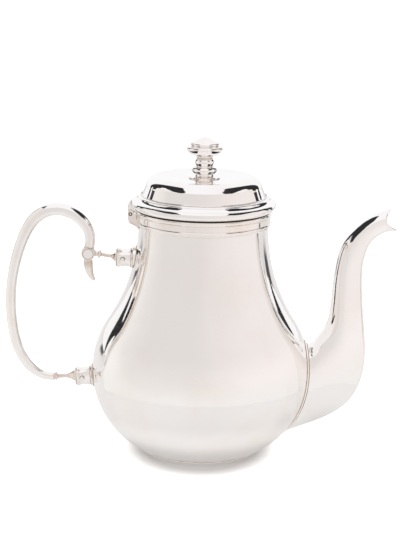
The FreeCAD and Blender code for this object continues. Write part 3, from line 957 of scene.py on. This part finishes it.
def even_steps(points: list[Vector], closed: bool, step: float) -> list[Vector]:
    """Space a run's points evenly.

    Args:
        points: The run.
        closed: Whether it closes on itself.
        step: The wanted distance between points.

    Returns:
        The new points.
    """
    path = points + points[:1] if closed else points
    lengths = [0.0]
    for first, second in zip(path, path[1:]):
        lengths.append(lengths[-1] + (second - first).length)
    count = max(4, round(lengths[-1] / step))
    placed, index = [], 0
    for number in range(count if closed else count + 1):
        want = lengths[-1] * number / count
        while index < len(path) - 2 and lengths[index + 1] < want:
            index += 1
        share = (want - lengths[index]) / max(lengths[index + 1] - lengths[index], 1e-9)
        placed.append(path[index].lerp(path[index + 1], share))
    return placed


WIRE_SIDES = 8
WAVER_SCALE = 350.0
END_SIZE = 0.25
END_GROWTH = 0.35
ON_AXIS = 1e-7


def wire(form: BMesh, points: list[Vector], closed: bool, radius: float, waver: float = 0.14) -> None:
    """Run a slightly uneven wire along a line, thinning out at open ends.

    Args:
        form: The mesh to add to.
        points: The line.
        closed: Whether it closes on itself.
        radius: The wire's radius.
        waver: How far its thickness wanders, as a share.
    """
    rings, last = [], len(points) - 1
    across = None
    for index, point in enumerate(points):
        before = points[index - 1] if index or closed else point
        after = points[(index + 1) % len(points)] if index < last or closed else point
        along = (after - before).normalized()
        if across is None:
            across = along.orthogonal().normalized()
        across = (across - along * across.dot(along)).normalized()
        up = along.cross(across)
        size = radius * (1.0 + waver * noise.noise(point * WAVER_SCALE))
        if not closed:
            size *= min(1.0, END_SIZE + END_GROWTH * min(index, last - index))
        rings.append([form.verts.new(point + (across * math.cos(turn) + up * math.sin(turn)) * size)
                      for turn in (math.tau * side / WIRE_SIDES for side in range(WIRE_SIDES))])
    pairs = list(zip(rings, rings[1:]))
    if closed:
        first = rings[0]
        shift = min(range(WIRE_SIDES), key=lambda turn: (first[turn].co - rings[-1][0].co).length)
        pairs.append((rings[-1], first[shift:] + first[:shift]))
    else:
        form.faces.new(reversed(rings[0]))
        form.faces.new(rings[-1])
    for low, high in pairs:
        for side in range(WIRE_SIDES):
            following = (side + 1) % WIRE_SIDES
            form.faces.new((low[side], low[following], high[following], high[side]))


def lathe(form: BMesh, outline: list[tuple[float, float]], centre: Vector, axis: Vector,
          steps: int) -> None:
    """Turn an outline round an axis; an outline that starts and ends on the axis gives a closed boss.

    Args:
        form: The mesh to add to.
        outline: Pairs of radius and height along the axis.
        centre: The place of height zero.
        axis: The axis.
        steps: How many faces go round.
    """
    side = axis.orthogonal().normalized()
    front = axis.cross(side)
    rings = []
    for radius, height in outline:
        if radius < ON_AXIS:
            rings.append([form.verts.new(centre + axis * height)])
        else:
            rings.append([form.verts.new(centre + axis * height + (
                side * math.cos(turn) + front * math.sin(turn)) * radius)
                for turn in (math.tau * step / steps for step in range(steps))])
    if outline[0][0] > ON_AXIS and outline[0] == outline[-1]:
        for vert in rings.pop():
            form.verts.remove(vert)
        rings.append(rings[0])
    for low, high in zip(rings, rings[1:]):
        for step in range(steps):
            following = (step + 1) % steps
            ring = [low[step % len(low)], low[following % len(low)], high[following % len(high)],
                    high[step % len(high)]]
            form.faces.new(list(dict.fromkeys(ring)))


def round_ring(radius: float, thick: float) -> list[tuple[float, float]]:
    """Give the closed outline of a round ring.

    Args:
        radius: The ring's radius.
        thick: Its wire's radius.

    Returns:
        The outline, its first point repeated at the end.
    """
    turns = [math.tau * side / WIRE_SIDES for side in range(WIRE_SIDES)]
    outline = [(radius + thick * math.cos(turn), thick * math.sin(turn)) for turn in turns]
    return outline + outline[:1]


def face_centres(node: str) -> list[tuple[Vector, float]]:
    """Find the middles of the two sides of a node's box that look along Y.

    Args:
        node: The node's name.

    Returns:
        Each middle, with the sign of Y that its side looks towards.
    """
    low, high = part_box(node)
    return [(Vector(((low.x + high.x) / 2, side.y, (low.z + high.z) / 2)), way)
            for side, way in ((low, -1.0), (high, 1.0))]


@dataclass
class SubAssembly:
    """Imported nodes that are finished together, and the small pieces worked onto them."""

    body: str = "pot"
    finishes: dict[str, tuple[str, ...]] = field(default_factory=dict)
    seams: tuple[Seam, ...] = ()

    def add(self, name: str, form: BMesh, look: str) -> None:
        """Finish a form as a piece that rides on this sub-assembly's body.

        Args:
            name: The piece's name.
            form: Its form, which is used up.
            look: A key of FINISHES.
        """
        bmesh.ops.recalc_face_normals(form, faces=form.faces)
        piece = mesh_object(name, form)
        mesh = piece.data
        mesh.polygons.foreach_set("use_smooth", [True] * len(mesh.polygons))
        mesh.materials.append(finish(look))
        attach(piece, self.body)
        logger.info("%s: %d faces, %s", name, len(mesh.polygons), look)

    def dress(self) -> None:
        """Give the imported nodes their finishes."""
        for look, nodes in self.finishes.items():
            for node in nodes:
                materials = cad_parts[node].data.materials
                materials.clear()
                materials.append(finish(look))
                logger.info("%s: %s", node, look)

    def join(self) -> None:
        """Lay the seams where the parts meet."""
        for seam in self.seams:
            form = bmesh.new()
            for points, closed in Surface.seam_runs(seam):
                wire(form, points, closed, seam.radius * MM)
            if form.faces:
                self.add(seam.name, form, seam.finish)
            else:
                form.free()
                logger.warning("%s has no run", seam.name)

    def detail(self) -> None:
        """Add the small worked pieces, where a sub-assembly has any."""

    def build(self) -> None:
        """Dress the nodes, lay the seams and add the worked pieces."""
        self.dress()
        self.join()
        self.detail()


@dataclass
class PearBody(SubAssembly):
    """The raised pear-shaped body, its foot and the moulding round its mouth; measures in millimetres."""

    shade_ring_inset: float = 2.7
    shade_ring_width: float = 1.25
    shade_ring_depth: float = 0.45
    shade_ring_height: float = 0.5
    foot_bevel: float = 0.1
    top_bevel: float = 0.4

    def detail(self) -> None:
        """Lay a dark ring round the mouth: painted shade under the lid's roll."""
        depth, height = self.shade_ring_depth * MM, self.shade_ring_height * MM
        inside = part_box("lid_bezel")[1].x + self.shade_ring_inset * MM
        outside = inside + self.shade_ring_width * MM
        outline = [(inside, 0.0), (outside - self.foot_bevel * MM, 0.0), (outside, self.foot_bevel * MM),
                   (outside, depth + height * 0.6), (outside - self.top_bevel * MM, depth + height),
                   (inside, depth + height * 0.8)]
        form = bmesh.new()
        foot = Vector((0.0, 0.0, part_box("body_shell")[1].z - depth))
        lathe(form, outline + outline[:1], foot, Vector((0.0, 0.0, 1.0)), 160)
        # This ring is painted shade, standing in for the shadow that the lid's roll casts on the top of the
        # neck band.
        self.add("mouth_painted_shade", form, "dark")


@dataclass
class Spout(SubAssembly):
    """The swan-neck spout, its root band and its lip; measures in millimetres."""

    lip: float = 0.45
    lip_sink: float = 0.7
    lip_waver: float = 0.05
    lip_corner: float = 40.0
    mouth_depth: float = 18.0
    shortest_lip: float = 10.0
    tip_room: float = 1.2

    def detail(self) -> None:
        """Roll a fine bead round the open mouth."""
        skin = Surface.of("spout")
        top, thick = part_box("spout")[1], self.lip * MM
        edges = [(edge, sum((face.normal for face in edge.link_faces), Vector()).normalized())
                 for edge in skin.form.edges if len(edge.link_faces) == 2
                 and edge.calc_face_angle(0.0) > math.radians(self.lip_corner)
                 and min(vert.co.z for vert in edge.verts) > top.z - self.mouth_depth * MM]
        runs = skin.runs(edges, -self.lip_sink * thick, self.shortest_lip * MM)
        points, closed = max(runs, key=lambda run: len(run[0]))
        for point in points:
            point.x = min(point.x, top.x - self.tip_room * thick)
        form = bmesh.new()
        wire(form, points, closed, thick, self.lip_waver)
        self.add("spout_lip", form, "turned")


@dataclass
class Handle(SubAssembly):
    """The scrolled handle, its arms, heat breaks and sockets."""

    ring_share: float = 0.74
    ring_thick: float = 0.2

    def detail(self) -> None:
        """Cut the fine ring round each face of the roundel."""
        low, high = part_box("handle_roundel")
        radius = min(high.x - low.x, high.z - low.z) / 2 * self.ring_share
        form = bmesh.new()
        for centre, _ in face_centres("handle_roundel"):
            lathe(form, round_ring(radius, self.ring_thick * MM), centre, Vector((0.0, 1.0, 0.0)), 64)
        self.add("roundel_rings", form, "seam")


@dataclass
class Lid(SubAssembly):
    """The domed lid with its rolled rim, flange and turned finial."""


@dataclass
class Hinge(SubAssembly):
    """The pot's leaf and the peened pin."""

    head_share: float = 0.92
    head_height: float = 0.4
    head_root: float = 0.2
    head_steps: int = 7
    ring_share: float = 1.12
    ring_thick: float = 0.32

    def detail(self) -> None:
        """Peen the pin's two ends over, each in a dark ring."""
        low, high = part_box("hinge_pin")
        radius = (high.z - low.z) / 2
        wide, tall, root = radius * self.head_share, self.head_height * MM, -self.head_root * MM
        turns = [math.pi / 2 * step / self.head_steps for step in range(self.head_steps)]
        dome = [(wide * math.cos(turn), tall * math.sin(turn)) for turn in turns]
        heads, rings = bmesh.new(), bmesh.new()
        for centre, way in face_centres("hinge_pin"):
            axis = Vector((0.0, way, 0.0))
            lathe(heads, [(0.0, root), (wide, root), *dome, (0.0, tall)], centre, axis, 32)
            lathe(rings, round_ring(radius * self.ring_share, self.ring_thick * MM), centre, axis, 40)
        self.add("pin_heads", heads, "pin")
        self.add("pin_rings", rings, "dark")


ASSEMBLIES = (
    PearBody(
        "pot",
        {"body": ("body_shell",), "band": ("neck_band",), "turned": ("foot_ring",), "inner": ("base_plate",)},
        (Seam("foot_seam", "foot_ring", "body_shell"),
         Seam("neck_seam", "neck_band", "body_shell", 0.22))),
    Spout(
        "pot",
        {"body": ("spout",), "turned": ("spout_collar",)},
        (Seam("spout_root_seam", "spout_collar", "body_shell"),
         Seam("spout_collar_seam", "spout_collar", "spout"))),
    Handle(
        "pot",
        {"turned": ("upper_socket", "lower_socket", "upper_socket_boss", "lower_socket_boss",
                    "handle_roundel"),
         "hinge": ("upper_arm", "lower_arm", "handle_tail"),
         "drawn": ("handle_bow",),
         "pin": ("upper_socket_pin", "lower_socket_pin"),
         "ivory": ("upper_insulator", "lower_insulator")},
        (Seam("upper_boss_seam", "upper_socket_boss", "body_shell"),
         Seam("lower_boss_seam", "lower_socket_boss", "body_shell"),
         Seam("upper_socket_seam", "upper_socket_boss", "upper_socket", 0.2),
         Seam("lower_socket_seam", "lower_socket_boss", "lower_socket", 0.2),
         Seam("upper_break_seam", "upper_insulator", "upper_socket", 0.16, "dark"),
         Seam("lower_break_seam", "lower_insulator", "lower_socket", 0.16, "dark"),
         Seam("upper_pin_seam", "upper_socket_pin", "upper_socket", 0.22, "dark", shortest=3.0),
         Seam("lower_pin_seam", "lower_socket_pin", "lower_socket", 0.22, "dark", shortest=3.0),
         Seam("roundel_seam", "handle_roundel", "handle_bow", 0.2),
         Seam("upper_arm_seam", "upper_arm", "handle_roundel", 0.2),
         Seam("lower_arm_seam", "lower_arm", "handle_bow", 0.2))),
    Lid(
        "lid",
        {"body": ("lid_dome", "lid_rim"), "inner": ("lid_bezel",),
         "turned": ("finial_collar", "finial_knob", "hinge_lid_leaf"),
         "pin": ("finial_stud", "finial_washer", "finial_nut")},
        (Seam("dome_seam", "lid_rim", "lid_dome", 0.16, corner=12.0),
         Seam("finial_foot_seam", "finial_collar", "lid_dome", 0.2),
         Seam("finial_waist_seam", "finial_knob", "finial_collar", 0.16),
         Seam("lid_leaf_seam", "hinge_lid_leaf", "lid_rim", 0.22))),
    Hinge(
        "pot",
        {"hinge": ("hinge_pot_leaf",), "pin": ("hinge_pin",)},
        (Seam("pot_leaf_seam", "hinge_pot_leaf", "neck_band", 0.22),
         Seam("pot_leaf_root_seam", "hinge_pot_leaf", "body_shell", 0.22))),
)


def main() -> None:
    """Dress the pot and set it in the studio."""
    logging.basicConfig(level=logging.INFO, format="%(name)s %(message)s")
    for assembly in ASSEMBLIES:
        assembly.build()
    Studio().build()


if __name__ == "__main__":
    main()
